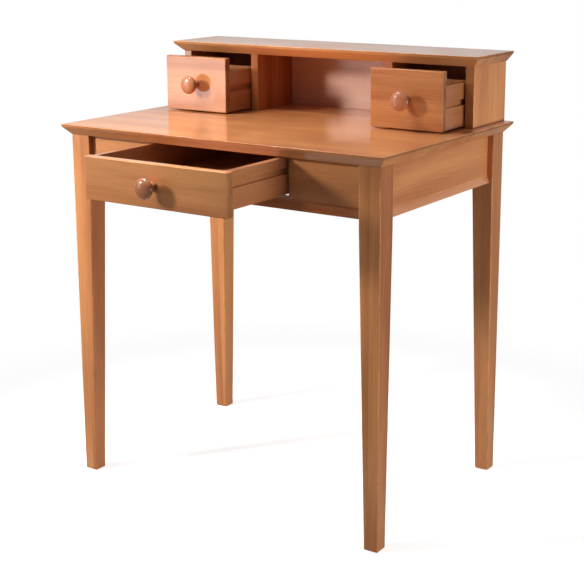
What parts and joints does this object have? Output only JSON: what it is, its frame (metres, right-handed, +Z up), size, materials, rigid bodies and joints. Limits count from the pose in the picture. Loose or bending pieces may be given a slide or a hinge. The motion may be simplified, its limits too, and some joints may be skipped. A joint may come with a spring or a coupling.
{
  "type": "writing desk with drawers",
  "caption": "Wooden writing desk on tapered legs, with a wide drawer under the top and a raised back section with a small drawer at each end of an open pigeonhole.",
  "frame": {"origin": "on the floor, at the middle of the four legs", "axes": "+X to the right along the front, +Y to the back, +Z up; drawers open along -Y"},
  "size_m": [0.772, 0.734, 0.907],
  "materials": {
    "honey_lacquered_wood": "satin to semi-gloss clear lacquer over a honey stain",
    "turned_knob_wood": "semi-gloss clear lacquer over a honey stain, turned",
    "drawer_box_wood": "satin lacquer over a honey stain",
    "runner_hardwood": "planed and waxed",
    "inner_frame_wood": "planed, unfinished",
    "drawer_bottom_plywood": "sanded plywood, sealed",
    "dowel_beech": "fluted beech, unfinished",
    "fixings_steel": "zinc plated"
  },
  "bodies": {
    "desk": {"back_apron": "honey_lacquered_wood", "corner_blocks": "inner_frame_wood", "corner_bolts": "fixings_steel", "corner_nuts": "fixings_steel", "desk_top": "honey_lacquered_wood", "drawer_guide_left": "inner_frame_wood", "drawer_guide_right": "inner_frame_wood", "frame_dowels": "dowel_beech", "front_panel_left": "honey_lacquered_wood", "front_panel_right": "honey_lacquered_wood", "guide_screws": "fixings_steel", "hutch_back": "honey_lacquered_wood", "hutch_divider_left": "honey_lacquered_wood", "hutch_divider_right": "honey_lacquered_wood", "hutch_dowels": "dowel_beech", "hutch_side_left": "honey_lacquered_wood", "hutch_side_right": "honey_lacquered_wood", "hutch_top": "honey_lacquered_wood", "left_runner_inner": "runner_hardwood", "left_runner_outer": "runner_hardwood", "leg_back_left": "honey_lacquered_wood", "leg_back_right": "honey_lacquered_wood", "leg_front_left": "honey_lacquered_wood", "leg_front_right": "honey_lacquered_wood", "lower_rail": "honey_lacquered_wood", "main_runner_left": "runner_hardwood", "main_runner_right": "runner_hardwood", "right_runner_inner": "runner_hardwood", "right_runner_outer": "runner_hardwood", "runner_screws": "fixings_steel", "side_apron_left": "honey_lacquered_wood", "side_apron_right": "honey_lacquered_wood", "top_screws": "fixings_steel"},
    "main_drawer": {"main_drawer_back": "drawer_box_wood", "main_drawer_bottom": "drawer_bottom_plywood", "main_drawer_front": "honey_lacquered_wood", "main_drawer_knob": "turned_knob_wood", "main_drawer_knob_screw": "fixings_steel", "main_drawer_pins": "fixings_steel", "main_drawer_side_left": "drawer_box_wood", "main_drawer_side_right": "drawer_box_wood"},
    "left_drawer": {"left_drawer_back": "drawer_box_wood", "left_drawer_bottom": "drawer_bottom_plywood", "left_drawer_front": "honey_lacquered_wood", "left_drawer_knob": "turned_knob_wood", "left_drawer_knob_screw": "fixings_steel", "left_drawer_pins": "fixings_steel", "left_drawer_side_left": "drawer_box_wood", "left_drawer_side_right": "drawer_box_wood"},
    "right_drawer": {"right_drawer_back": "drawer_box_wood", "right_drawer_bottom": "drawer_bottom_plywood", "right_drawer_front": "honey_lacquered_wood", "right_drawer_knob": "turned_knob_wood", "right_drawer_knob_screw": "fixings_steel", "right_drawer_pins": "fixings_steel", "right_drawer_side_left": "drawer_box_wood", "right_drawer_side_right": "drawer_box_wood"}
  },
  "joints": [
    {"name": "main_drawer_slide", "type": "slide", "parent": "desk", "child": "main_drawer", "axis": [0, -1, 0], "range_m": [-0.176, 0.124]},
    {"name": "left_drawer_slide", "type": "slide", "parent": "desk", "child": "left_drawer", "axis": [0, -1, 0], "range_m": [-0.091, 0.014]},
    {"name": "right_drawer_slide", "type": "slide", "parent": "desk", "child": "right_drawer", "axis": [0, -1, 0], "range_m": [-0.091, 0.014]}
  ]
}
